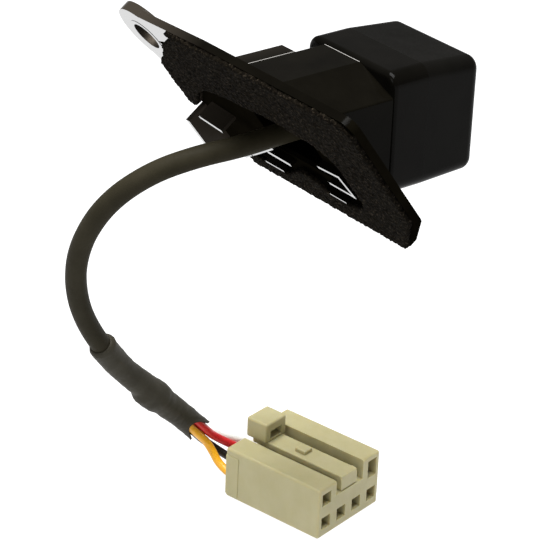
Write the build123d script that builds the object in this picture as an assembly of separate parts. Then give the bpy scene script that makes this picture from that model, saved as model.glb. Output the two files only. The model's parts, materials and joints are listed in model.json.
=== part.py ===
from build123d import *
import math
import os

os.makedirs("parts", exist_ok=True)

# ---------------------------------------------------------------- driving dimensions, in millimetres
# The origin is the centre of the screw hole in the flange's ear, on the flange's rear face.
# +Y is the way the lens looks and +Z is up. The flange leans: its lower edge stands forward.
FLANGE_LEAN = 36.0           # degrees between the flange and the vertical
FLANGE_THICK = 1.6
FLANGE_LEFT = 1.5            # edges of the flange, across (u) and up its slope (v)
FLANGE_RIGHT = 66.5
FLANGE_TOP = 8.4
FLANGE_BOTTOM = -33.2
EAR_RADIUS = 7.3
EAR_THICK = 2.2
SLEEVE_OUTER = 4.2
SCREW_RADIUS = 3.25          # clear hole for an M6 screw
SLEEVE_PROUD = 0.06
RECESS_DEPTH = 0.7           # the flange's face is lower inside the gasket
GUARD_HEIGHT = 4.2           # the wall along the flange's lower left edge
GUARD_THICK = 1.2
GUARD_TOP = -21.0

FOAM_THICK = 0.9
FOAM_INSET = 0.2
# the inner edge of the foam, from the end of its left leg round to the end of its lower band
FOAM_INNER = [
    (-0.3, -19.9), (1.8, -19.9), (7.4, -13.0), (11.6, -9.8), (18.0, -7.9), (36.0, -6.0),
    (47.5, -7.0), (51.5, -10.5), (51.6, -21.5), (50.5, -24.5), (45.0, -27.0), (38.6, -26.8), (37.0, -24.2), (31.5, -24.0), (29.5, -25.5),
    (24.6, -29.0), (17.5, -29.2), (11.0, -28.8),
]
# thin ribs inside the gasket: from, to, width, and height above the flange's face
RIBS = [
    ((7.3, -17.9), (13.0, -18.9), 0.9, 3.2),
    ((8.4, -32.6), (26.0, -19.9), 0.7, 0.9),
    ((22.9, -22.9), (29.2, -23.1), 0.9, 0.9),
    ((18.3, -28.5), (23.5, -28.5), 0.5, 0.9),
    ((43.0, -16.0), (49.0, -15.5), 0.7, 0.9),
    ((49.0, -15.5), (50.0, -21.0), 0.8, 0.9),
    ((43.2, -20.9), (50.0, -21.0), 0.7, 0.9),
    ((39.6, -26.3), (44.0, -26.4), 0.4, 0.9),
]
HOOKS_AT = (12.0, 50.0)      # the snap hooks on the flange's front side
HOOK_WIDTH = 5.0
HOOK_SLOPE = -26.5

MODULE_WIDTH = 25.9          # the camera module's outer box
MODULE_HEIGHT = 25.1
MODULE_X = 31.35
MODULE_TOP = 1.5
MODULE_REAR = 24.8
MODULE_SEAM = 33.4
MODULE_FRONT = 47.0
MODULE_CORNER = 2.8
FRONT_DRAFT = 0.3            # how far each side of the front housing closes in towards the lens
FRONT_DROP = 1.1             # how much lower the front housing's top is at the lens end
HOUSING_WALL = 1.6
MODULE_SCREWS = [(39.5, -7.0), (39.5, -16.5), (28.6, -4.6)]

NECK_LEFT = 23.4
NECK_FLAT_RIGHT = 34.2
NECK_TOP = 1.0
NECK_SHOULDER = -3.0
NECK_BOTTOM = -20.4
NECK_WALL = 1.5
NECK_END_WALL = 1.9

CABLE_RADIUS = 2.15
CABLE_X = 28.6
CABLE_Z = -12.4
GROMMET_RADIUS = 3.1
LEAD_RADIUS = 0.6
SHRINK_RADIUS = 2.75
BULGE_RADIUS = 3.5
BULGE_LENGTH = 7.0
BULGE_START = 3.2            # its middle, past the route's eleventh point
WIRE_RADIUS = 0.9

CONN_YAW = 12.3              # the connector's heading about Z
CONN_CORNER = (5.1, 18.5, -108.2)
CONN_LENGTH = 25.7
CONN_WIDTH = 20.4
CONN_HEIGHT = 12.0
CONN_PITCH = 5.1
CAVITY = 2.9
TALL_CAVITY = 4.2            # the two cavities of the upper row
CAVITY_DEPTH = 18.0
LATCH_WIDTH = 5.2
LATCH_THICK = 1.5
LATCH_FROM = 1.0
LATCH_ROOT = 23.5
LATCH_GAP = 2.1              # how far the arm can be pressed down
TAB_RISE = 4.6

MODULE_Z = MODULE_TOP - MODULE_HEIGHT / 2
MODULE_RIGHT = MODULE_X + MODULE_WIDTH / 2
MODULE_LEFT = MODULE_X - MODULE_WIDTH / 2

LEAN = math.radians(FLANGE_LEAN)
REARWARD = (0, -math.cos(LEAN), -math.sin(LEAN))
FLANGE = Plane(origin=(0, 0, 0), x_dir=(1, 0, 0), z_dir=REARWARD)
LENS_AXIS = Plane(origin=(MODULE_X, 0, MODULE_Z), x_dir=(1, 0, 0), z_dir=(0, 1, 0))
CONN = Plane(
    origin=CONN_CORNER,
    x_dir=(math.cos(math.radians(CONN_YAW)), math.sin(math.radians(CONN_YAW)), 0),
    z_dir=(0, 0, 1),
)

# The lead's route, from the grommet, out of the neck, round its hanging loop and down to the wires.
ROUTE = [
    (28.6, 22.9, -12.4),
    (28.6, 12.0, -12.4),
    (27.9, 2.5, -13.3),
    (25.0, -6.0, -14.4),
    (20.2, -13.2, -17.8),
    (14.4, -18.8, -24.6),
    (9.0, -21.0, -34.0),
    (4.6, -20.0, -44.5),
    (1.0, -15.4, -57.0),
    (-1.8, -5.1, -72.1),
    (-2.2, 3.7, -81.0),
    (-2.8, 11.5, -88.7),
    (-3.3, 17.8, -96.0),
]
SHEATH_CORNERS = 9           # the shrink sleeve starts half-way along the run after these points


def save(name, shape):
    export_step(shape, os.path.join("parts", name + ".step"))


def block(x0, x1, y0, y1, z0, z1):
    middle = Location(((x0 + x1) / 2, (y0 + y1) / 2, (z0 + z1) / 2))
    return middle * Box(x1 - x0, y1 - y0, z1 - z0)


def on(plane, shape):
    return plane.location * shape


def lens_round(radius, y0, y1, dx=0.0, dz=0.0):
    """A cylinder along the lens's axis, between two places on it."""
    middle = Location((MODULE_X + dx, (y0 + y1) / 2, MODULE_Z + dz), (90, 0, 0))
    return middle * Cylinder(radius, y1 - y0)


def along_y(radius, x, z, y0, y1):
    return Location((x, (y0 + y1) / 2, z), (90, 0, 0)) * Cylinder(radius, y1 - y0)


def rounded_bar(width, height, corner, y0, y1):
    """A bar with rounded corners along the lens's axis."""
    rear = LENS_AXIS.offset(y0) * RectangleRounded(width, height, corner)
    return extrude(rear, y1 - y0, dir=(0, 1, 0))


def route_tube(points, radius, label):
    """A tube of straight runs and tangent arcs, each arc as large as its runs allow."""
    corners = [Vector(*p) for p in points]
    radii = []
    for before, here, after in zip(corners, corners[1:], corners[2:]):
        turn = math.radians((here - before).get_angle(after - here))
        shorter = min((here - before).length, (after - here).length)
        radii.append(0.45 * shorter / math.tan(turn / 2))
    path = FilletPolyline(*corners, radius=radii)
    start = Plane(origin=corners[0], z_dir=corners[1] - corners[0])
    tube = sweep(start * Circle(radius), path=path)
    section = math.pi * radius**2
    print(label, "length", round(path.length, 1), "volume/(section*length)",
          round(tube.volume / (section * path.length), 4), "radii", [round(r) for r in radii])
    return tube


# ---------------------------------------------------------------- bracket: flange, ear, neck and hooks
def flange_outline():
    middle = ((FLANGE_LEFT + FLANGE_RIGHT) / 2, (FLANGE_TOP + FLANGE_BOTTOM) / 2)
    body = Pos(*middle) * Rectangle(FLANGE_RIGHT - FLANGE_LEFT, FLANGE_TOP - FLANGE_BOTTOM)
    web = make_face(Polyline(
        (-3, -6.6), (-3, 6.6), (2.5, 6.9), (26, FLANGE_TOP), (26, -14), (3, -14), close=True))
    lower_right = make_face(Polyline((68, -19), (68, -34), (57, -34), close=True))
    top_left = make_face(Polyline((-10, 7.6), (2.5, 6.9), (26, 8.6), (26, 12), (-10, 12), close=True))
    outline = body + Circle(EAR_RADIUS) + web - lower_right - top_left
    right_corners = outline.vertices().filter_by(lambda v: v.X > 55)
    return fillet(right_corners, 2.5)


def neck_section(inset, rounding):
    """The neck's cross-section, flat on top with a sloping shoulder, drawn across X and Z."""
    left = NECK_LEFT + inset
    right = MODULE_RIGHT - inset
    top = NECK_TOP - inset
    bottom = NECK_BOTTOM + inset
    shoulder = NECK_SHOULDER - inset
    points = [(left, bottom), (left, top), (NECK_FLAT_RIGHT, top), (right, shoulder), (right, bottom)]
    face = fillet(make_face(Polyline(*points, close=True)).vertices(), rounding)
    return Plane.XZ.location * face


def in_front_of_flange(shape):
    """The part of a shape on the lens's side of the flange."""
    return shape & on(FLANGE, Pos(30, -10, -FLANGE_THICK - 60) * Box(160, 160, 120))


def neck_bar(inset, rounding, end):
    bar = extrude(neck_section(inset, rounding), end + 20, dir=(0, 1, 0))
    return in_front_of_flange(bar.moved(Location((0, -20, 0))))


def standing_rib(start, finish, width, top):
    """A thin wall on the flange's rear side, from the recess's floor up to a height above the face."""
    run = Vector(finish[0] - start[0], finish[1] - start[1])
    turn = math.degrees(math.atan2(run.Y, run.X))
    height = top + RECESS_DEPTH + 0.1
    middle = ((start[0] + finish[0]) / 2, (start[1] + finish[1]) / 2, top - height / 2)
    return on(FLANGE, Location(middle, (0, 0, turn)) * Box(run.length + width, width, height))


def make_bracket():
    plate = extrude(FLANGE.location * flange_outline(), -FLANGE_THICK, dir=REARWARD)
    ear = on(FLANGE, Pos(0, 0, -EAR_THICK / 2) * Cylinder(EAR_RADIUS, EAR_THICK))
    rail = in_front_of_flange(block(19.6, NECK_LEFT + 0.5, -10, 17.6, -2.2, NECK_TOP))
    end = MODULE_REAR - NECK_END_WALL
    window = on(FLANGE, Pos(33.85, -15.3, -FLANGE_THICK) * Box(17.9, 13.6, 6))
    body = plate + ear + neck_bar(0, 0.5, MODULE_REAR) + rail - neck_bar(NECK_WALL, 0.4, end) - window
    corner = [(11.0, FLANGE_BOTTOM - 1), (FLANGE_LEFT - 1, FLANGE_BOTTOM - 1), (FLANGE_LEFT - 1, -20.0)]
    recess = make_face(Polyline(*(FOAM_INNER + corner), close=True))
    body = body - extrude(FLANGE.location * recess, -RECESS_DEPTH, dir=REARWARD)
    for start, finish, width, top in RIBS:
        body = body + standing_rib(start, finish, width, top)
    guard_at = FLANGE_LEFT + GUARD_THICK / 2
    guard_end = (guard_at, FLANGE_BOTTOM + 1)
    body = body + standing_rib((guard_at, GUARD_TOP), guard_end, GUARD_THICK, GUARD_HEIGHT)
    for u in HOOKS_AT:
        stem = on(FLANGE, Pos(u, HOOK_SLOPE, -FLANGE_THICK - 2.4) * Box(HOOK_WIDTH, 1.4, 5.2))
        barb = on(FLANGE, Pos(u, HOOK_SLOPE - 0.9, -FLANGE_THICK - 4.1) * Box(HOOK_WIDTH, 1.6, 1.8))
        body = body + stem + barb
    body = body - on(FLANGE, Cylinder(SLEEVE_OUTER, 8))
    body = body - along_y(GROMMET_RADIUS, CABLE_X, CABLE_Z, end - 1, MODULE_REAR + 1)
    for x, z in MODULE_SCREWS:
        body = body - along_y(1.3, x, z, end - 1, MODULE_REAR + 1)
    return body


bracket = make_bracket()
save("mounting_bracket", bracket)

ear_sleeve = on(FLANGE, Pos(0, 0, (SLEEVE_PROUD - EAR_THICK) / 2) * (
    Cylinder(SLEEVE_OUTER, EAR_THICK + SLEEVE_PROUD) - Cylinder(SCREW_RADIUS, 10)))
save("ear_sleeve", ear_sleeve)


# ---------------------------------------------------------------- foam gasket on the flange's rear face
def gasket_outline():
    bottom = FLANGE_BOTTOM + FOAM_INSET
    top = FLANGE_TOP - FOAM_INSET
    right = FLANGE_RIGHT - FOAM_INSET
    outer = [
        (11.0, bottom), (57.4, bottom), (right, -19.6), (right, 5.8), (64.0, top), (26.0, top),
        (12.3, 7.6), (13.6, 6.4), (10.0, 3.7), (6.9, 1.4), (5.4, -1.0), (3.5, -3.6),
        (1.5, -5.1), (-0.2, -7.4), (-0.5, -13.0),
    ]
    return make_face(Polyline(*(FOAM_INNER + outer), close=True))


gasket = extrude(FLANGE.location * gasket_outline(), FOAM_THICK, dir=REARWARD)
for start, finish, width, top in RIBS:
    gasket = gasket - standing_rib(start, finish, width + 0.4, top + 1)
save("flange_gasket", gasket)


# ---------------------------------------------------------------- camera module: rear half
def make_rear_housing():
    outer = rounded_bar(MODULE_WIDTH, MODULE_HEIGHT, MODULE_CORNER, MODULE_REAR, MODULE_SEAM)
    rear_edges = outer.edges().filter_by(lambda e: e.center().Y < MODULE_REAR + 0.01)
    outer = fillet(rear_edges, 1.2)
    inner_size = (MODULE_WIDTH - 2 * HOUSING_WALL, MODULE_HEIGHT - 2 * HOUSING_WALL)
    inner = rounded_bar(inner_size[0], inner_size[1], 1.4, MODULE_REAR + 1.8, MODULE_SEAM + 1)
    rebate = rounded_bar(inner_size[0] + 1.6, inner_size[1] + 1.6, 2.0, MODULE_SEAM - 1.0, MODULE_SEAM + 1)
    body = outer - inner - rebate
    for x, z in MODULE_SCREWS:
        body = body + along_y(2.2, x, z, MODULE_REAR + 1.0, MODULE_REAR + 4.4)
        body = body - along_y(0.9, x, z, MODULE_REAR - 1, MODULE_REAR + 3.6)
    return body - along_y(GROMMET_RADIUS, CABLE_X, CABLE_Z, MODULE_REAR - 1, MODULE_REAR + 3)


rear_housing = make_rear_housing()
save("rear_housing", rear_housing)

seal_outer = (MODULE_WIDTH - 2 * HOUSING_WALL + 1.6, MODULE_HEIGHT - 2 * HOUSING_WALL + 1.6)
seal_inner = (MODULE_WIDTH - 2 * HOUSING_WALL, MODULE_HEIGHT - 2 * HOUSING_WALL)
seal = rounded_bar(seal_outer[0], seal_outer[1], 2.0, MODULE_SEAM - 1.0, MODULE_SEAM)
seal = seal - rounded_bar(seal_inner[0], seal_inner[1], 1.4, MODULE_SEAM - 2, MODULE_SEAM + 1)
save("housing_seal", seal)

# ---------------------------------------------------------------- camera module: front half and lens
LENS_RADIUS = 7.4
LENS_SEAT = 41.2
GLASS_RADIUS = 6.2
POST_AT = [(sx * 8.3, sz * 7.4) for sx in (-1, 1) for sz in (-1, 1)]


def make_front_housing():
    rear_face = LENS_AXIS.offset(MODULE_SEAM) * RectangleRounded(MODULE_WIDTH, MODULE_HEIGHT, MODULE_CORNER)
    front_size = (MODULE_WIDTH - 2 * FRONT_DRAFT, MODULE_HEIGHT - FRONT_DRAFT - FRONT_DROP)
    lowered = Pos(0, (FRONT_DROP - FRONT_DRAFT) / 2)
    front_face = LENS_AXIS.offset(MODULE_FRONT) * lowered * RectangleRounded(*front_size, MODULE_CORNER)
    outer = loft([rear_face, front_face])
    front_edges = outer.edges().filter_by(lambda e: e.center().Y > MODULE_FRONT - 0.01)
    outer = fillet(front_edges, 2.2)
    inner_size = (MODULE_WIDTH - 2 * HOUSING_WALL - 1.6, MODULE_HEIGHT - 2 * HOUSING_WALL - 1.6)
    inner = rounded_bar(inner_size[0], inner_size[1], 1.4, MODULE_SEAM - 1, LENS_SEAT)
    body = outer - inner
    for dx, dz in POST_AT:
        body = body + lens_round(1.7, 36.2, LENS_SEAT + 0.5, dx, dz)
        body = body - lens_round(0.6, 35.0, LENS_SEAT - 0.6, dx, dz)
    body = body - lens_round(LENS_RADIUS, LENS_SEAT - 1, MODULE_FRONT + 1)
    cone_low = LENS_AXIS.offset(MODULE_FRONT - 2.2) * Circle(LENS_RADIUS)
    cone_high = LENS_AXIS.offset(MODULE_FRONT + 0.01) * Circle(LENS_RADIUS + 2.4)
    return body - loft([cone_low, cone_high])


save("front_housing", make_front_housing())

barrel = lens_round(LENS_RADIUS, 39.6, 43.7) + lens_round(5.2, 38.4, 39.6)
barrel = barrel - lens_round(GLASS_RADIUS, 42.2, 44.0)
barrel = barrel - lens_round(4.6, 39.0, 42.6)
barrel = barrel - lens_round(3.4, 38.0, 39.4)
seal_groove = lens_round(LENS_RADIUS + 0.5, 40.6, 41.8) - lens_round(LENS_RADIUS - 0.8, 40.0, 42.4)
barrel = barrel - seal_groove
save("lens_barrel", barrel)

lens_seal = lens_round(LENS_RADIUS, 40.6, 41.8) - lens_round(LENS_RADIUS - 0.8, 40.0, 42.4)
save("lens_seal", lens_seal)

DOME_SPHERE = 8.0
dome_centre_y = 45.2 - DOME_SPHERE
dome = lens_round(GLASS_RADIUS, 42.2, 46.0) & (Pos(MODULE_X, dome_centre_y, MODULE_Z) * Sphere(DOME_SPHERE))
save("lens_glass", dome)

lens_ring = lens_round(LENS_RADIUS, 43.7, 44.4) - lens_round(6.3, 43.0, 45.0)
save("lens_ring", lens_ring)
save("inner_lens_front", lens_round(4.6, 40.9, 42.2))
save("lens_spacer_ring", lens_round(4.6, 40.3, 40.9) - lens_round(3.4, 40.0, 41.0))
save("inner_lens_rear", lens_round(4.6, 39.4, 40.3))

# ---------------------------------------------------------------- boards inside the module
SENSOR_BOARD = 35.2
POWER_BOARD = 31.0
BOARD_THICK = 1.0
BOARD_WIDTH = 20.2
BOARD_HEIGHT = 18.2


def board(y):
    plate = block(MODULE_X - BOARD_WIDTH / 2, MODULE_X + BOARD_WIDTH / 2, y, y + BOARD_THICK,
                  MODULE_Z - BOARD_HEIGHT / 2, MODULE_Z + BOARD_HEIGHT / 2)
    for dx, dz in POST_AT:
        plate = plate - lens_round(0.95, y - 1, y + 2, dx, dz)
    return plate


save("sensor_board", board(SENSOR_BOARD))
save("power_board", board(POWER_BOARD))

spacer_from = POWER_BOARD + BOARD_THICK
spacers = []
for dx, dz in POST_AT:
    bore = lens_round(0.95, spacer_from - 1, SENSOR_BOARD + 1, dx, dz)
    spacers.append(lens_round(1.6, spacer_from, SENSOR_BOARD, dx, dz) - bore)
save("board_spacers", Compound(children=spacers))

screws = [lens_round(1.5, POWER_BOARD - 0.9, POWER_BOARD, dx, dz) + lens_round(0.6, POWER_BOARD, 39.4, dx, dz)
          for dx, dz in POST_AT]
save("board_screws", Compound(children=screws))

holder_front = 38.4
holder_rear = SENSOR_BOARD + BOARD_THICK
holder = block(MODULE_X - 6, MODULE_X + 6, holder_rear, holder_front, MODULE_Z - 6, MODULE_Z + 6)
holder = holder - block(MODULE_X - 4.2, MODULE_X + 4.2, 36.0, 37.4, MODULE_Z - 4.2, MODULE_Z + 4.2)
holder = holder - block(MODULE_X - 3.5, MODULE_X + 3.5, 37.0, 39.0, MODULE_Z - 3.5, MODULE_Z + 3.5)
save("lens_holder", holder)
save("image_sensor", block(MODULE_X - 3.6, MODULE_X + 3.6, 36.2, 37.0, MODULE_Z - 3.2, MODULE_Z + 3.2))
save("ir_filter", block(MODULE_X - 3.5, MODULE_X + 3.5, 37.4, 37.9, MODULE_Z - 3.5, MODULE_Z + 3.5))

can = block(MODULE_X - 6, MODULE_X + 6, spacer_from, spacer_from + 2.2, MODULE_Z - 5, MODULE_Z + 5)
can_inside = block(
    MODULE_X - 5.7, MODULE_X + 5.7, spacer_from - 1, spacer_from + 1.9, MODULE_Z - 4.7, MODULE_Z + 4.7)
can = can - can_inside
save("shield_can", can)

save("board_header", block(CABLE_X - 3.6, CABLE_X + 3.6, 29.6, POWER_BOARD, CABLE_Z - 1.9, CABLE_Z + 1.9))
save("header_plug", block(CABLE_X - 3.2, CABLE_X + 3.2, 28.0, 29.6, CABLE_Z - 1.5, CABLE_Z + 1.5))

# ---------------------------------------------------------------- screws, grommet and leads in the neck
heads = [along_y(2.1, x, z, MODULE_REAR - NECK_END_WALL - 1.3, MODULE_REAR - NECK_END_WALL)
         + along_y(0.9, x, z, MODULE_REAR - NECK_END_WALL, MODULE_REAR + 3.4) for x, z in MODULE_SCREWS]
save("module_screws", Compound(children=heads))

grommet = along_y(GROMMET_RADIUS, CABLE_X, CABLE_Z, MODULE_REAR - NECK_END_WALL, MODULE_REAR + 1.8)
for dx, dz in ((-0.9, -0.9), (-0.9, 0.9), (0.9, -0.9), (0.9, 0.9)):
    grommet = grommet - along_y(LEAD_RADIUS, CABLE_X + dx, CABLE_Z + dz, 20, 30)
save("cable_grommet", grommet)

leads = [along_y(LEAD_RADIUS, CABLE_X + dx, CABLE_Z + dz, MODULE_REAR - NECK_END_WALL, 28.0)
         for dx in (-0.9, 0.9) for dz in (-0.9, 0.9)]
save("camera_leads", Compound(children=leads))

# ---------------------------------------------------------------- the lead
splice = (Vector(*ROUTE[SHEATH_CORNERS - 1]) + Vector(*ROUTE[SHEATH_CORNERS])) / 2
save("cable_sheath", route_tube(ROUTE[:SHEATH_CORNERS] + [tuple(splice)], CABLE_RADIUS, "sheath"))

shrink = route_tube([tuple(splice)] + ROUTE[SHEATH_CORNERS:], SHRINK_RADIUS, "shrink sleeve")
bulge_from = Vector(*ROUTE[10])
bulge_to = Vector(*ROUTE[11])
bulge_way = (bulge_to - bulge_from).normalized()
bulge_plane = Plane(origin=bulge_from + bulge_way * BULGE_START, z_dir=bulge_way)
bulge = bulge_plane.location * Cylinder(BULGE_RADIUS, BULGE_LENGTH)
save("heat_shrink_sleeve", shrink + fillet(bulge.edges(), 0.7))

# Four wires leave the sleeve's open end and curve into the connector's rear face.
WIRES = {
    "wire_yellow": ((-0.95, -0.95), (0, 0)),
    "wire_black": ((0.95, -0.95), (1, 0)),
    "wire_red": ((-0.95, 0.95), (2, 0)),
    "wire_white": ((0.95, 0.95), (3, 0)),
}
WIRE_ENTRY = 5.0             # how far the wires reach into the connector
sleeve_end = Vector(*ROUTE[-1])
sleeve_way = (sleeve_end - Vector(*ROUTE[-2])).normalized()
across = Vector(0, 0, 1).cross(sleeve_way).normalized()
upward = sleeve_way.cross(across)


def cavity_centre(column, row):
    width_at = (CONN_WIDTH - 3 * CONN_PITCH) / 2 + column * CONN_PITCH
    return width_at, 3.4 + row * 5.7


for name, ((da, du), (column, row)) in WIRES.items():
    start = sleeve_end + across * da + upward * du
    width_at, height_at = cavity_centre(column, row)
    end = CONN.from_local_coords(Vector(WIRE_ENTRY, width_at, height_at))
    lead_in = CONN.from_local_coords(Vector(-2.6, width_at, height_at))
    out = start + sleeve_way * 3.6
    save(name, route_tube([tuple(start), tuple(out), tuple(lead_in), tuple(end)], WIRE_RADIUS, name))


# ---------------------------------------------------------------- connector
def conn_block(l0, l1, w0, w1, z0, z1, rounding=0.0):
    shape = block(l0, l1, w0, w1, z0, z1)
    if rounding > 0:
        shape = fillet(shape.edges(), rounding)
    return shape


MIDDLE = CONN_WIDTH / 2
CHANNEL = LATCH_WIDTH / 2 + 1.9
CHANNEL_FLOOR = CONN_HEIGHT - LATCH_THICK - LATCH_GAP
RIGHT_BLOCK_RISE = 1.0
BAND_LENGTH = 3.6            # the slightly raised band round the rear of the housing
BAND_RISE = 0.2

housing = conn_block(0, CONN_LENGTH, 0, CONN_WIDTH, 0, CONN_HEIGHT, 0.6)
right_top = CONN_HEIGHT + RIGHT_BLOCK_RISE
housing = housing + conn_block(0, CONN_LENGTH, MIDDLE + CHANNEL - 1, CONN_WIDTH, 2, right_top, 0.5)
housing = housing + conn_block(0.2, BAND_LENGTH, -BAND_RISE, 3, 0.8, CONN_HEIGHT - 1.6, 0.15)
housing = housing - block(-1, CONN_LENGTH + 1, MIDDLE - CHANNEL, MIDDLE + CHANNEL, CHANNEL_FLOOR, 20)
CAVITIES = [(c, 0) for c in range(4)] + [(0, 1), (3, 1)]
WIRED = [place for offset, place in WIRES.values()]
for column, row in CAVITIES:
    w, z = cavity_centre(column, row)
    half = CAVITY / 2
    rise = (TALL_CAVITY - half) if row == 1 and column == 3 else half
    cavity = block(CONN_LENGTH - CAVITY_DEPTH, CONN_LENGTH + 1, w - half, w + half, z - half, z + rise)
    wire_bore = Location(((CONN_LENGTH - CAVITY_DEPTH) / 2 - 0.5, w, z), (0, 90, 0))
    housing = housing - cavity - wire_bore * Cylinder(1.15, CONN_LENGTH - CAVITY_DEPTH + 1.2)
save("connector_housing", on(CONN, housing))

arm_from = MIDDLE - LATCH_WIDTH / 2
arm_to = MIDDLE + LATCH_WIDTH / 2
arm = conn_block(LATCH_FROM, CONN_LENGTH - 0.2, arm_from, arm_to, CONN_HEIGHT - LATCH_THICK, CONN_HEIGHT, 0.3)
root = block(LATCH_ROOT + 0.6, CONN_LENGTH - 0.2, arm_from, arm_to, CHANNEL_FLOOR + 0.3, CONN_HEIGHT)
root = fillet(root.edges().filter_by(lambda e: e.center().X > CONN_LENGTH - 0.3 and e.center().Z > 11), 1.2)
tab = conn_block(-0.2, 5.3, MIDDLE - 3.4, MIDDLE + 3.4, CONN_HEIGHT - 0.1, CONN_HEIGHT + TAB_RISE, 0.5)
pocket = conn_block(3.6, 6.0, MIDDLE - 1.9, MIDDLE + 1.9, CONN_HEIGHT + 0.6, CONN_HEIGHT + 2.6)
bump = conn_block(11.6, 14.4, MIDDLE - 1.3, MIDDLE + 1.3, CONN_HEIGHT - 0.5, CONN_HEIGHT + 0.9, 0.3)
save("connector_latch", on(CONN, arm + root + (tab - pocket) + bump))

terminals = []
for column, row in WIRED:
    w, z = cavity_centre(column, row)
    inside = block(8.0, 22.0, w - 0.9, w + 0.9, z - 0.9, z + 0.9)
    terminals.append(on(CONN, block(9.0, 21.0, w - 1.2, w + 1.2, z - 1.2, z + 1.2) - inside))
save("terminals", Compound(children=terminals))
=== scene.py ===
import bmesh
import bpy
import json
import math
from mathutils import Matrix, Vector, noise
from mathutils.geometry import delaunay_2d_cdt


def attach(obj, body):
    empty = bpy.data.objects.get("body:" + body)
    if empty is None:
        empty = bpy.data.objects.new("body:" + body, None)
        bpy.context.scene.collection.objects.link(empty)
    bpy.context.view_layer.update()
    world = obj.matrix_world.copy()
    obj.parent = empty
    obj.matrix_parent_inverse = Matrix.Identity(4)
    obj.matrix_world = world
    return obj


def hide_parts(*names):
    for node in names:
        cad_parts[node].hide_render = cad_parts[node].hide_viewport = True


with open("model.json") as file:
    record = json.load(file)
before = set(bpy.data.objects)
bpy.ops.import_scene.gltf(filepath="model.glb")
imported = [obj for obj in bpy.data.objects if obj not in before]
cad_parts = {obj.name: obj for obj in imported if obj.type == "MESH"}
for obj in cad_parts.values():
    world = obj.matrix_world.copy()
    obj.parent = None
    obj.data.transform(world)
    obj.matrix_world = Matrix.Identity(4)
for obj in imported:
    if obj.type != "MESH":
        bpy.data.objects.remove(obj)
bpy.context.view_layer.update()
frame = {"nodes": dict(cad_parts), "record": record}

MM = 0.001
NOISE_SEED = 1
noise.seed_set(NOISE_SEED)   # without a seed, noise_vector gives other values on each run

# ------------------------------------------------------- the flange's plane and the connector's frame
FLANGE_LEAN = math.radians(36.0)
ACROSS = Vector((1, 0, 0))
UPSLOPE = Vector((0, -math.sin(FLANGE_LEAN), math.cos(FLANGE_LEAN)))
REARWARD = Vector((0, -math.cos(FLANGE_LEAN), -math.sin(FLANGE_LEAN)))
CONN_YAW = math.radians(12.3)
CONN_CORNER = Vector((5.1, 18.5, -108.2))
CONN_WIDTH = 20.4
CONN_PITCH = 5.1


def flange_point(u, v, w):
    """A point in metres from its place across the flange, up its slope and rearwards, in millimetres."""
    return (ACROSS * u + UPSLOPE * v + REARWARD * w) * MM


def conn_point(along, across, up):
    """A point in metres from its place along, across and up the connector, in millimetres."""
    way = Vector((math.cos(CONN_YAW), math.sin(CONN_YAW), 0))
    side = Vector((-math.sin(CONN_YAW), math.cos(CONN_YAW), 0))
    return (CONN_CORNER + way * along + side * across + Vector((0, 0, up))) * MM


# ---------------------------------------------------------------- camera
CAMERA_AZIMUTH = 51.2        # degrees from -Y towards +X
CAMERA_ELEVATION = 27.1
CAMERA_ROLL = 2.3
CAMERA_PLACE = (0.3544, -0.2523, 0.1728)
FOCAL_RATIO = 2420 / 540     # focal length over the frame's width


def make_camera():
    data = bpy.data.cameras.new("camera")
    data.sensor_width = 36.0
    data.lens = 36.0 * FOCAL_RATIO
    data.clip_start = 0.01
    data.clip_end = 40.0
    camera = bpy.data.objects.new("camera", data)
    bpy.context.scene.collection.objects.link(camera)
    azimuth = math.radians(CAMERA_AZIMUTH)
    elevation = math.radians(CAMERA_ELEVATION)
    level = math.cos(elevation)
    back = Vector((math.sin(azimuth) * level, -math.cos(azimuth) * level, math.sin(elevation)))
    right = (-back).cross(Vector((0, 0, 1))).normalized()
    up = right.cross(-back)
    roll = math.radians(CAMERA_ROLL)
    tilted_right = right * math.cos(roll) + up * math.sin(roll)
    tilted_up = up * math.cos(roll) - right * math.sin(roll)
    matrix = Matrix((tilted_right, tilted_up, back)).transposed().to_4x4()
    matrix.translation = Vector(CAMERA_PLACE)
    camera.matrix_world = matrix
    bpy.context.scene.camera = camera


make_camera()


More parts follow.
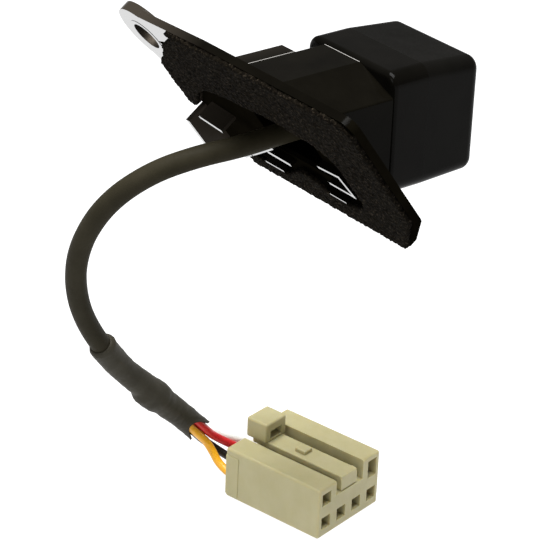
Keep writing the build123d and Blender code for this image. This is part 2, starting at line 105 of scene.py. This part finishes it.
# ---------------------------------------------------------------- small node helpers
class Nodes:
    """A material's node tree with the few nodes that the finishes below share."""

    def __init__(self, name):
        self.material = bpy.data.materials.new(name)
        self.material.use_nodes = True
        self.tree = self.material.node_tree
        self.shader = self.tree.nodes["Principled BSDF"]
        self.coords = self.tree.nodes.new("ShaderNodeTexCoord").outputs["Object"]

    def link(self, a, b):
        self.tree.links.new(a, b)

    def noise(self, scale, detail=4.0, rough=0.55, stretch=None):
        node = self.tree.nodes.new("ShaderNodeTexNoise")
        node.inputs["Scale"].default_value = scale
        node.inputs["Detail"].default_value = detail
        node.inputs["Roughness"].default_value = rough
        self.link(self.placed(stretch), node.inputs["Vector"])
        return node.outputs["Fac"]

    def cells(self, scale):
        node = self.tree.nodes.new("ShaderNodeTexVoronoi")
        node.inputs["Scale"].default_value = scale
        self.link(self.coords, node.inputs["Vector"])
        return node.outputs["Distance"]

    def axis(self, which):
        node = self.tree.nodes.new("ShaderNodeSeparateXYZ")
        self.link(self.coords, node.inputs["Vector"])
        return node.outputs[which]

    def placed(self, stretch):
        if stretch is None:
            return self.coords
        node = self.tree.nodes.new("ShaderNodeMapping")
        node.inputs["Scale"].default_value = stretch
        self.link(self.coords, node.inputs["Vector"])
        return node.outputs["Vector"]

    def ramp(self, value, low, high, start=0.0, end=1.0):
        node = self.tree.nodes.new("ShaderNodeMapRange")
        node.inputs["From Min"].default_value = start
        node.inputs["From Max"].default_value = end
        node.inputs["To Min"].default_value = low
        node.inputs["To Max"].default_value = high
        self.link(value, node.inputs["Value"])
        return node.outputs["Result"]

    def colours(self, value, stops):
        node = self.tree.nodes.new("ShaderNodeValToRGB")
        node.color_ramp.elements[0].position = stops[0][0]
        node.color_ramp.elements[0].color = (*stops[0][1], 1)
        node.color_ramp.elements[1].position = stops[-1][0]
        node.color_ramp.elements[1].color = (*stops[-1][1], 1)
        for place, colour in stops[1:-1]:
            element = node.color_ramp.elements.new(place)
            element.color = (*colour, 1)
        self.link(value, node.inputs["Fac"])
        return node.outputs["Color"]

    def mix(self, factor, a, b):
        node = self.tree.nodes.new("ShaderNodeMix")
        node.data_type = "RGBA"
        sockets = (node.inputs["Factor"], node.inputs[6], node.inputs[7])
        for socket, value in zip(sockets, (factor, a, b)):
            if hasattr(value, "node"):
                self.link(value, socket)
            else:
                socket.default_value = value if isinstance(value, float) else (*value, 1)
        return node.outputs[2]

    def maths(self, kind, a, b, within=0.0):
        node = self.tree.nodes.new("ShaderNodeMath")
        node.operation = kind
        for socket, value in zip(node.inputs, (a, b, within)):
            if hasattr(value, "node"):
                self.link(value, socket)
            else:
                socket.default_value = value
        return node.outputs[0]

    def bump(self, height, distance, strength=1.0, under=None):
        node = self.tree.nodes.new("ShaderNodeBump")
        node.inputs["Distance"].default_value = distance
        node.inputs["Strength"].default_value = strength
        self.link(height, node.inputs["Height"])
        if under is not None:
            self.link(under, node.inputs["Normal"])
        self.link(node.outputs["Normal"], self.shader.inputs["Normal"])
        return node.outputs["Normal"]

    def set(self, **values):
        names = {
            "spec": "Specular IOR Level", "rough": "Roughness", "metal": "Metallic", "coat": "Coat Weight",
            "coat_rough": "Coat Roughness", "ior": "IOR", "sss": "Subsurface Weight",
            "sss_scale": "Subsurface Scale", "sss_radius": "Subsurface Radius",
            "glass": "Transmission Weight", "colour": "Base Color",
        }
        for key, value in values.items():
            socket = self.shader.inputs[names[key]]
            if hasattr(value, "node"):
                self.link(value, socket)
            elif key == "colour":
                socket.default_value = (*value, 1)
            else:
                socket.default_value = value


# ---------------------------------------------------------------- finishes
NECK_EDGE = 0.02355          # across, in metres: the neck's top edge on the ear's side
NECK_JOIN = 0.02470          # along the lens's way: where the neck's top meets the module
NECK_FLAT_RIGHT = 0.0342
NECK_TOP_FROM = 0.0006       # only faces above this height carry the lines
FLANGE_END = 0.0015          # and only beyond this place along the lens's way
EDGE_HALF = 0.00007          # half a line's width


def painted_highlight_lines(n, colour):
    """Painted highlights: fine pale lines along the neck's top edge and along its join with the module."""
    x = n.axis(0)
    y = n.axis(1)
    on_top = n.maths("GREATER_THAN", n.axis(2), NECK_TOP_FROM)
    past_flange = n.maths("GREATER_THAN", y, FLANGE_END)
    on_top = n.maths("MULTIPLY", on_top, past_flange)
    along_edge = n.maths("COMPARE", x, NECK_EDGE, EDGE_HALF)
    along_join = n.maths("COMPARE", y, NECK_JOIN, EDGE_HALF)
    middle = (NECK_EDGE + NECK_FLAT_RIGHT) / 2
    before_shoulder = n.maths("COMPARE", x, middle, (NECK_FLAT_RIGHT - NECK_EDGE) / 2)
    join = n.maths("MULTIPLY", along_join, before_shoulder)
    line = n.maths("MULTIPLY", n.maths("MAXIMUM", along_edge, join), on_top)
    # the pale colour mixed in along these lines is painted highlight
    return n.mix(line, colour, (0.34, 0.33, 0.31))


def moulded(name, dark, light, rough, spread, spec=0.5, depth=0.00001, coat=0.0, paler_ear_and_painted_lines=False):
    """Moulded plastic: slow colour drift, fine grain, flow marks and uneven gloss."""
    n = Nodes(name)
    drift = n.noise(90.0, 3.0)
    fine = n.noise(3800.0, 3.0)
    flow = n.noise(260.0, 2.0, stretch=(0.35, 1.0, 1.6))
    colour = n.colours(drift, [(0.3, dark), (0.7, light)])
    if paler_ear_and_painted_lines:
        # the colour turns paler towards the ear end, and pale lines of painted highlight run along the neck's
        # top
        nearness = n.ramp(n.axis(0), 1.0, 0.0, 0.004, 0.024)
        colour = painted_highlight_lines(n, n.mix(nearness, colour, (0.030, 0.025, 0.0195)))
    patches = n.noise(420.0, 5.0, 0.6)
    gloss = n.ramp(patches, rough - spread, rough + spread, 0.3, 0.7)
    n.set(colour=colour, rough=gloss, spec=spec, coat=coat, coat_rough=0.08)
    first = n.bump(flow, depth * 4, 0.5)
    n.bump(fine, depth, 1.0, under=first)
    return n.material


def foam():
    n = Nodes("foam")
    pores = n.cells(1500.0)
    grit = n.noise(1700.0, 5.0, 0.72)
    wide = n.noise(420.0, 3.0)
    base = n.colours(grit, [(0.38, (0.0015, 0.0012, 0.0007)), (0.54, (0.0055, 0.0042, 0.0026)),
                            (0.69, (0.052, 0.042, 0.030))])
    shade = n.mix(n.ramp(pores, 0.75, 0.0, 0.1, 0.55), base, (0.0012, 0.001, 0.0008))
    tone = n.mix(n.ramp(wide, 0.0, 0.55, 0.4, 0.7), shade, (0.0060, 0.0048, 0.0030))
    n.set(colour=tone, rough=1.0, spec=0.03)
    first = n.bump(pores, 0.00035, 0.8)
    n.bump(grit, 0.00025, 0.8, under=first)
    return n.material


def vinyl(name, dark, light, rough, fine=2600.0, spec=0.45):
    n = Nodes(name)
    drift = n.noise(160.0, 3.0)
    skin = n.noise(fine, 4.0, 0.6)
    ripple = n.noise(520.0, 2.0)
    n.set(colour=n.colours(drift, [(0.3, dark), (0.72, light)]),
          rough=n.ramp(skin, rough - 0.07, rough + 0.09, 0.3, 0.7), spec=spec)
    first = n.bump(ripple, 0.00006, 0.5)
    n.bump(skin, 0.00001, 1.0, under=first)
    return n.material


def nylon():
    """Natural nylon: slightly see-through, warmer where it is thin or deep."""
    n = Nodes("connector_nylon")
    drift = n.noise(130.0, 4.0)
    fine = n.noise(3000.0, 4.0, 0.6)
    smear = n.noise(520.0, 3.0, stretch=(1.0, 1.0, 0.4))
    base = n.colours(drift, [(0.3, (0.400, 0.362, 0.192)), (0.7, (0.446, 0.408, 0.232))])
    mottled = n.mix(n.ramp(smear, 0.0, 0.35, 0.45, 0.75), base, (0.380, 0.338, 0.170))
    n.set(colour=mottled, rough=n.ramp(fine, 0.34, 0.52, 0.3, 0.7), spec=0.45, sss=0.35, sss_scale=0.0022,
          sss_radius=(1.0, 0.75, 0.35))
    first = n.bump(smear, 0.00003, 0.5)
    n.bump(fine, 0.000012, 1.0, under=first)
    return n.material


def metal(name, colour, rough):
    n = Nodes(name)
    brushed = n.noise(1400.0, 4.0, 0.6)
    tint = tuple(c * 0.82 for c in colour)
    n.set(colour=n.colours(brushed, [(0.3, tint), (0.7, colour)]),
          rough=n.ramp(brushed, rough - 0.07, rough + 0.12, 0.3, 0.7), metal=1.0)
    n.bump(brushed, 0.000012)
    return n.material


def glass(name, colour):
    n = Nodes(name)
    film = n.noise(60.0, 2.0)
    tint = tuple(c * 0.9 for c in colour)
    n.set(colour=n.colours(film, [(0.3, tint), (0.7, colour)]), rough=0.02, glass=1.0, ior=1.52, coat=0.6,
          coat_rough=0.02)
    return n.material


def board():
    n = Nodes("board_green")
    weave = n.cells(2600.0)
    drift = n.noise(500.0, 4.0)
    base = n.colours(drift, [(0.35, (0.006, 0.060, 0.022)), (0.7, (0.014, 0.125, 0.050))])
    n.set(colour=n.mix(n.ramp(weave, 0.25, 0.0, 0.0, 0.5), base, (0.02, 0.16, 0.07)), rough=0.3, coat=0.4,
          coat_rough=0.15)
    n.bump(weave, 0.00001)
    return n.material


FINISHES = {
    "bracket_plastic": moulded("bracket_plastic", (0.0020, 0.0017, 0.0011), (0.0038, 0.0033, 0.0022), 0.20,
                               0.05, spec=0.025, paler_ear_and_painted_lines=True),
    "rear_plastic": moulded("rear_plastic", (0.0020, 0.0018, 0.0013), (0.0038, 0.0034, 0.0027), 0.18, 0.05,
                            spec=0.04),
    "front_plastic": moulded("front_plastic", (0.0026, 0.0024, 0.0019), (0.0042, 0.0039, 0.0033), 0.34, 0.05,
                             spec=0.035, depth=0.000005),
    "foam": foam(),
    "sleeve_steel": metal("sleeve_steel", (0.045, 0.038, 0.030), 0.5),
    "seal_rubber": vinyl("seal_rubber", (0.010, 0.010, 0.010), (0.022, 0.022, 0.022), 0.6),
    "barrel_black": metal("barrel_black", (0.030, 0.030, 0.032), 0.3),
    "lens_glass": glass("lens_glass", (0.92, 0.95, 1.0)),
    "filter_glass": glass("filter_glass", (0.35, 0.75, 0.80)),
    "board_green": board(),
    "screw_steel": metal("screw_steel", (0.68, 0.67, 0.62), 0.28),
    "holder_plastic": moulded("holder_plastic", (0.010, 0.010, 0.010), (0.020, 0.020, 0.020), 0.5, 0.08),
    "sensor_chip": moulded("sensor_chip", (0.020, 0.022, 0.026), (0.050, 0.055, 0.065), 0.15, 0.04),
    "can_tin": metal("can_tin", (0.75, 0.74, 0.70), 0.25),
    "header_plastic": moulded("header_plastic", (0.62, 0.59, 0.48), (0.72, 0.69, 0.58), 0.45, 0.08),
    "lead_insulation": vinyl("lead_insulation", (0.10, 0.10, 0.10), (0.20, 0.20, 0.20), 0.4),
    "cable_jacket": vinyl("cable_jacket", (0.0185, 0.0160, 0.0092), (0.0265, 0.0230, 0.0140), 0.58,
                          spec=0.05),
    "shrink_tube": vinyl("shrink_tube", (0.028, 0.025, 0.0170), (0.040, 0.036, 0.0255), 0.55, 1500.0,
                         spec=0.12),
    "wire_yellow": vinyl("wire_yellow", (0.78, 0.36, 0.010), (0.86, 0.44, 0.020), 0.30),
    "wire_red": vinyl("wire_red", (0.50, 0.012, 0.016), (0.62, 0.022, 0.026), 0.30),
    "wire_white": vinyl("wire_white", (0.72, 0.72, 0.69), (0.82, 0.82, 0.79), 0.30),
    "wire_black": vinyl("wire_black", (0.006, 0.006, 0.006), (0.012, 0.012, 0.012), 0.28),
    "connector_nylon": nylon(),
    "terminal_tin": metal("terminal_tin", (0.74, 0.70, 0.60), 0.25),
}
POLISHED = moulded("bracket_polish", (0.0040, 0.0038, 0.0034), (0.0080, 0.0075, 0.0068), 0.06, 0.02, spec=1.0,
                   depth=0.000001, coat=1.0)
MATTE = moulded("bracket_matte", (0.0022, 0.0018, 0.0010), (0.0050, 0.0042, 0.0026), 0.97, 0.02, spec=0.0)


def piece(name, mesh, slot, body="root", replaces=()):
    obj = bpy.data.objects.new(name, mesh)
    bpy.context.scene.collection.objects.link(obj)
    obj.data.materials.append(FINISHES[slot])
    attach(obj, body)
    if replaces:
        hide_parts(*replaces)
    return obj


# ---------------------------------------------------------------- CAD pieces that stay
slots = {row["node"]: row["material_slot"] for row in frame["record"]["subparts"]}
for name, obj in frame["nodes"].items():
    for slot in obj.material_slots:
        slot.material = FINISHES[slots[name]]

ROUNDED = {
    "mounting_bracket": 0.22, "rear_housing": 0.25, "front_housing": 0.25, "connector_housing": 0.22,
    "connector_latch": 0.2, "lens_barrel": 0.1, "lens_ring": 0.1, "module_screws": 0.12,
}
for name, width in ROUNDED.items():
    obj = frame["nodes"][name]
    bevel = obj.modifiers.new("edges", "BEVEL")
    bevel.width = width * MM
    bevel.segments = 3
    bevel.limit_method = "ANGLE"
    bevel.angle_limit = math.radians(38)
    bevel.harden_normals = False

# The ear and the ribs inside the gasket are polished; the recess and the flange's far edge are matte.
EAR_END = 14.0               # across the flange
RIB_HEIGHT = 0.5             # faces above this height over the flange are the ribs' tops
RECESS_HEIGHT = -0.3         # faces below this one are the recess's floor
FAR_EDGE = 55.0
POLISHED_INDEX = 1
MATTE_INDEX = 2
for name in ("mounting_bracket", "ear_sleeve"):
    node = frame["nodes"][name]
    node.data.materials.append(POLISHED)
    node.data.materials.append(MATTE)
    for face in node.data.polygons:
        height = face.center.dot(REARWARD) / MM
        if face.normal.dot(REARWARD) > 0.99:
            mirrors = height > RECESS_HEIGHT and (face.center.x < EAR_END * MM or height > RIB_HEIGHT)
            face.material_index = POLISHED_INDEX if mirrors else MATTE_INDEX
        elif face.normal.x > 0.7 and face.center.x > FAR_EDGE * MM:
            face.material_index = MATTE_INDEX


# ---------------------------------------------------------------- the lead
ROUTE = [
    (28.6, 22.9, -12.4), (28.6, 12.0, -12.4), (27.9, 2.5, -13.3), (25.0, -6.0, -14.4), (20.2, -13.2, -17.8),
    (14.4, -18.8, -24.6), (9.0, -21.0, -34.0), (4.6, -20.0, -44.5), (1.0, -15.4, -57.0), (-1.8, -5.1, -72.1),
    (-2.2, 3.7, -81.0), (-2.8, 11.5, -88.7), (-3.3, 17.8, -96.0),
]
SHEATH_POINTS = 9
CABLE_RADIUS = 2.15
WIRE_RADIUS = 0.9
route = [Vector(p) * MM for p in ROUTE]
splice = (route[SHEATH_POINTS - 1] + route[SHEATH_POINTS]) / 2


def nurbs(name, points, radius=0.0):
    data = bpy.data.curves.new(name, "CURVE")
    data.dimensions = "3D"
    spline = data.splines.new("NURBS")
    spline.points.add(len(points) - 1)
    for place, point in zip(spline.points, points):
        place.co = (*point, 1.0)
    spline.order_u = 3
    spline.use_endpoint_u = True
    spline.use_smooth = True
    data.resolution_u = 16
    data.bevel_depth = radius * MM
    data.bevel_resolution = 8
    data.use_fill_caps = radius > 0
    return data


def line_of(points):
    """Closely spaced points of the smooth line with these control points."""
    data = nurbs("line", points)
    holder = bpy.data.objects.new("line", data)
    mesh = bpy.data.meshes.new_from_object(holder)
    line = [v.co.copy() for v in mesh.vertices]
    bpy.data.objects.remove(holder)
    bpy.data.curves.remove(data)
    bpy.data.meshes.remove(mesh)
    return line


def length_of(line):
    return sum((b - a).length for a, b in zip(line, line[1:]))


sheath_line = route[:SHEATH_POINTS] + [splice]
cable = piece("cable", nurbs("cable", sheath_line, CABLE_RADIUS), "cable_jacket", replaces=["cable_sheath"])
cable_length = length_of(line_of(sheath_line))


def swept(name, line, ring, section):
    """A tube along a line: section(s, outward, total) gives how far ahead and out each point stands."""
    mesh = bpy.data.meshes.new(name)
    bm = bmesh.new()
    side = (line[1] - line[0]).orthogonal().normalized()
    travelled = 0.0
    total = length_of(line)
    rings = []
    for i, point in enumerate(line):
        before = line[max(i - 1, 0)]
        after = line[min(i + 1, len(line) - 1)]
        way = (after - before).normalized()
        side = (side - way * side.dot(way)).normalized()
        other = way.cross(side)
        if i:
            travelled += (point - line[i - 1]).length
        row = []
        for k in range(ring):
            angle = 2 * math.pi * k / ring
            outward = side * math.cos(angle) + other * math.sin(angle)
            ahead, out = section(travelled, outward, total)
            row.append(bm.verts.new(point + way * ahead + outward * out))
        rings.append(row)
    for a, b in zip(rings, rings[1:]):
        for k in range(ring):
            bm.faces.new((a[k], a[(k + 1) % ring], b[(k + 1) % ring], b[k]))
    return mesh, bm, rings


def resampled(line, step):
    """The same line with points at even steps."""
    out = [line[0]]
    left = step
    for a, b in zip(line, line[1:]):
        span = (b - a).length
        run = 0.0
        while span - run >= left:
            run += left
            out.append(a + (b - a) * (run / span))
            left = step
        left -= span - run
    if (out[-1] - line[-1]).length > step * 0.3:
        out.append(line[-1])
    return out


# The heat-shrunk sleeve: a thin tube that follows the jacket, bulges over the joint and ends open on a slant.
SLEEVE_WALL = 0.45
SLEEVE_RING = 56             # points round the sleeve
SLEEVE_STEP = 0.45
MOUTH_LENGTH = 12.0          # the part of the sleeve that its slanted mouth draws back
MOUTH_CUT = 12.0
MOUTH_SIDE = Vector((0.694, -0.558, 0.456))          # where the mouth is cut back
BELOW_LEFT = Vector((-0.35, -0.62, -0.70)).normalized()
# Its radius on the side away from the hanging loop steps out first, and the other side steps in later.
OUTER_SIDE = [(0.0, 2.40), (0.9, 2.80), (4.0, 2.75), (12.0, 2.62), (17.4, 2.66), (20.4, 3.62), (22.6, 3.72),
              (28.0, 3.20), (34.0, 2.92), (43.0, 2.80)]
INNER_SIDE = [(0.0, 2.40), (1.1, 2.95), (4.0, 2.86), (12.0, 2.80), (19.0, 2.95), (24.4, 3.20), (25.4, 2.95),
              (28.0, 2.62), (34.0, 2.62), (43.0, 2.80)]


def eased(profile, s):
    for (s0, r0), (s1, r1) in zip(profile, profile[1:]):
        if s <= s1:
            t = max(0.0, min(1.0, (s - s0) / (s1 - s0)))
            return r0 + (r1 - r0) * (3 * t * t - 2 * t * t * t)
    return profile[-1][1]


def sleeve_section(inner):
    def section(s, way_out, total):
        s_mm = s / MM
        outward = 0.5 + 0.5 * max(-1.0, min(1.0, 1.15 * way_out.dot(BELOW_LEFT)))
        radius = eased(INNER_SIDE, s_mm) * (1 - outward) + eased(OUTER_SIDE, s_mm) * outward
        spot = way_out * radius + Vector((s_mm, s_mm * 0.7, -s_mm)) * 0.6
        wrinkle = 0.10 * noise.noise(spot * 0.45) + 0.05 * noise.noise(spot * 1.3)
        radius += min(1.0, s_mm) * wrinkle
        radius -= SLEEVE_WALL if inner else 0.0
        near = max(0.0, way_out.dot(MOUTH_SIDE))
        to_end = max(0.0, (s_mm - (total / MM - MOUTH_LENGTH)) / MOUTH_LENGTH)
        cut = -MOUTH_CUT * near ** 1.5 * to_end
        return cut * MM, radius * MM
    return section


sleeve_line = resampled(line_of([splice] + route[SHEATH_POINTS:]), SLEEVE_STEP * MM)
mesh, bm, outer_rings = swept("sleeve", sleeve_line, SLEEVE_RING, sleeve_section(False))
inner_mesh, inner_bm, inner_rings = swept("inner", sleeve_line, SLEEVE_RING, sleeve_section(True))
inner_rows = [[bm.verts.new(v.co) for v in row] for row in inner_rings]
inner_bm.free()
bpy.data.meshes.remove(inner_mesh)
for a, b in zip(inner_rows, inner_rows[1:]):
    for k in range(SLEEVE_RING):
        bm.faces.new((a[k], b[k], b[(k + 1) % SLEEVE_RING], a[(k + 1) % SLEEVE_RING]))
for end, flip in ((0, False), (-1, True)):
    outer_row = outer_rings[end]
    inner_row = inner_rows[end]
    for k in range(SLEEVE_RING):
        after = (k + 1) % SLEEVE_RING
        ring = (outer_row[k], inner_row[k], inner_row[after], outer_row[after])
        bm.faces.new(ring[::-1] if flip else ring)
bmesh.ops.recalc_face_normals(bm, faces=bm.faces)
for face in bm.faces:
    face.smooth = True
bm.to_mesh(mesh)
bm.free()
sleeve = piece("shrink_sleeve", mesh, "shrink_tube", replaces=["heat_shrink_sleeve"])

# The four wires, from inside the sleeve's open end to the ways of the connector.
sleeve_end = Vector(ROUTE[-1])
sleeve_way = (sleeve_end - Vector(ROUTE[-2])).normalized()
wire_across = Vector((0, 0, 1)).cross(sleeve_way).normalized()
wire_up = sleeve_way.cross(wire_across)
WIRES = {
    "wire_yellow": ((-0.95, -0.95), (0, 0)),
    "wire_black": ((0.95, -0.95), (1, 0)),
    "wire_red": ((-0.95, 0.95), (2, 0)),
    "wire_white": ((0.95, 0.95), (3, 0)),
}
LOWER_ROW = 3.4              # heights of the ways in the connector
ROW_PITCH = 5.7
WIRE_STRAIGHT = 3.6          # straight run out of the sleeve
WIRE_LEAD_IN = -2.6          # where the wires straighten up behind the connector
WIRE_ENTRY = 5.0             # how far they reach into it
WIRE_HIDDEN = 20             # steps of the sleeve's line that the wires reach back inside it
for name, ((across, up), (column, row)) in WIRES.items():
    start = (sleeve_end + wire_across * across + wire_up * up) * MM
    width_at = (CONN_WIDTH - 3 * CONN_PITCH) / 2 + column * CONN_PITCH
    height_at = LOWER_ROW + row * ROW_PITCH
    inside = start + sleeve_line[-WIRE_HIDDEN] - sleeve_line[-1]
    out = start + sleeve_way * WIRE_STRAIGHT * MM
    lead_in = conn_point(WIRE_LEAD_IN, width_at, height_at)
    points = [inside, start, out, lead_in, conn_point(WIRE_ENTRY, width_at, height_at)]
    piece(name + "_run", nurbs(name, points, WIRE_RADIUS), name, replaces=[name])

# ---------------------------------------------------------------- foam gasket
FOAM_INNER = [
    (-0.3, -19.9), (1.8, -19.9), (7.4, -13.0), (11.6, -9.8), (18.0, -7.9), (36.0, -6.0),
    (47.5, -7.0), (51.5, -10.5), (51.6, -21.5), (50.5, -24.5), (45.0, -27.0), (38.6, -26.8),
    (37.0, -24.2), (31.5, -24.0), (29.5, -25.5),
    (24.6, -29.0), (17.5, -29.2), (11.0, -28.8),
]
FOAM_OUTER = [
    (11.0, -33.0), (57.4, -33.0), (66.3, -19.6), (66.3, 5.8), (64.0, 8.2), (26.0, 8.2),
    (12.3, 7.6), (13.6, 6.4), (10.0, 3.7), (6.9, 1.4), (5.4, -1.0), (3.5, -3.6),
    (1.5, -5.1), (-0.2, -7.4), (-0.5, -13.0),
]
FOAM_THICK = 0.9
FOAM_STEP = 0.34             # size of the grid in its face
FOAM_EDGE_STEP = 0.45
FOAM_CORNER = (-1.2, -33.8)  # where the grid starts, and how far it runs
FOAM_SPAN = (69, 43)


def ragged_outline():
    """The foam's outline with its corners eased and its cut edge torn into small steps."""
    corners = [Vector(p) for p in FOAM_INNER + FOAM_OUTER]
    out = []
    for a, b in zip(corners, corners[1:] + corners[:1]):
        steps = max(2, int((b - a).length / FOAM_EDGE_STEP))
        way = (b - a).normalized()
        side = Vector((-way.y, way.x))
        for i in range(steps):
            spot = a + (b - a) * (i / steps)
            place = Vector((spot.x, spot.y, 3.0))
            torn = noise.noise(place * 0.9) * 0.32 + noise.noise(place * 2.6) * 0.22
            out.append(spot + side * torn)
    return out


def make_foam():
    """A sheet of foam with a pitted face and torn edges, from a grid fitted inside the torn outline."""
    outline = ragged_outline()
    edges = [(i, (i + 1) % len(outline)) for i in range(len(outline))]
    points = list(outline)
    for i in range(int(FOAM_SPAN[0] / FOAM_STEP)):
        for j in range(int(FOAM_SPAN[1] / FOAM_STEP)):
            jitter = noise.noise_vector(Vector((i * 1.7, j * 1.3, 0.5))) * FOAM_STEP * 0.35
            across = FOAM_CORNER[0] + i * FOAM_STEP + jitter.x
            upslope = FOAM_CORNER[1] + j * FOAM_STEP + jitter.y
            points.append(Vector((across, upslope)))
    flat, _, faces, _, _, _ = delaunay_2d_cdt(points, edges, [], 1, 0.004)
    sides = {}
    for face in faces:
        for a, b in zip(face, face[1:] + face[:1]):
            sides[(a, b)] = True
    border = [(a, b) for a, b in sides if (b, a) not in sides]
    on_border = {a for a, b in border}
    bm = bmesh.new()
    top = []
    bottom = []
    for i, p in enumerate(flat):
        place = Vector((p.x, p.y, 0.0))
        grain = noise.noise(place * 1.3) * 0.10 + noise.noise(place * 3.4) * 0.09
        pore = max(0.0, noise.noise(place * 2.1 + Vector((7, 3, 5))) - 0.22) * 0.8
        drop = 0.16 if i in on_border else 0.0
        top.append(bm.verts.new(flange_point(p.x, p.y, FOAM_THICK + grain - pore - drop)))
        bottom.append(bm.verts.new(flange_point(p.x, p.y, 0.02)))
    for face in faces:
        bm.faces.new([top[i] for i in face])
        bm.faces.new([bottom[i] for i in reversed(face)])
    middle = {}
    for i in on_border:
        p = flat[i]
        push = noise.noise_vector(Vector((p.x * 2.3, p.y * 2.3, 9.0))) * 0.16
        middle[i] = bm.verts.new(flange_point(p.x + push.x, p.y + push.y, FOAM_THICK * 0.5))
    for a, b in border:
        bm.faces.new((top[b], top[a], middle[a], middle[b]))
        bm.faces.new((middle[b], middle[a], bottom[a], bottom[b]))
    loose = [v for v in bm.verts if not v.link_faces]
    bmesh.ops.delete(bm, geom=loose, context="VERTS")
    bmesh.ops.recalc_face_normals(bm, faces=bm.faces)
    for face in bm.faces:
        face.smooth = True
    mesh = bpy.data.meshes.new("foam_gasket")
    bm.to_mesh(mesh)
    bm.free()
    return mesh


gasket = piece("foam_gasket", make_foam(), "foam", replaces=["flange_gasket"])

# ---------------------------------------------------------------- floor, world and lights
FLOOR_Z = -0.1084
FLOOR_HALF = 30.0


def make_floor():
    mesh = bpy.data.meshes.new("floor")
    corners = [(sx * FLOOR_HALF, sy * FLOOR_HALF, FLOOR_Z) for sx, sy in ((-1, -1), (1, -1), (1, 1), (-1, 1))]
    mesh.from_pydata(corners, [], [(0, 1, 2, 3)])
    floor = bpy.data.objects.new("floor", mesh)
    bpy.context.scene.collection.objects.link(floor)
    n = Nodes("floor")
    n.set(colour=(0.16, 0.16, 0.16), rough=0.9, spec=0.1)
    n.shader.inputs["Emission Color"].default_value = (1, 1, 1, 1)
    n.shader.inputs["Emission Strength"].default_value = 0.98
    mesh.materials.append(n.material)


make_floor()

world = bpy.data.worlds.new("studio")
bpy.context.scene.world = world
world.use_nodes = True
sky = world.node_tree.nodes["Background"]
sky.inputs["Color"].default_value = (1, 1, 1, 1)
sky.inputs["Strength"].default_value = 0.22


def softbox(name, place, aim, size, power):
    data = bpy.data.lights.new(name, "AREA")
    data.shape = "SQUARE"
    data.size = size
    data.energy = power
    lamp = bpy.data.objects.new(name, data)
    bpy.context.scene.collection.objects.link(lamp)
    lamp.location = place
    lamp.visible_camera = False
    lamp.rotation_euler = (Vector(aim) - Vector(place)).to_track_quat("-Z", "Y").to_euler()


softbox("top_box", (0.05, -0.05, 0.75), (0.03, 0, -0.05), 0.6, 17.6)
softbox("front_box", (0.25, -0.75, 0.35), (0.03, 0, -0.05), 0.4, 1.5)
bpy.context.scene.view_settings.view_transform = "Standard"
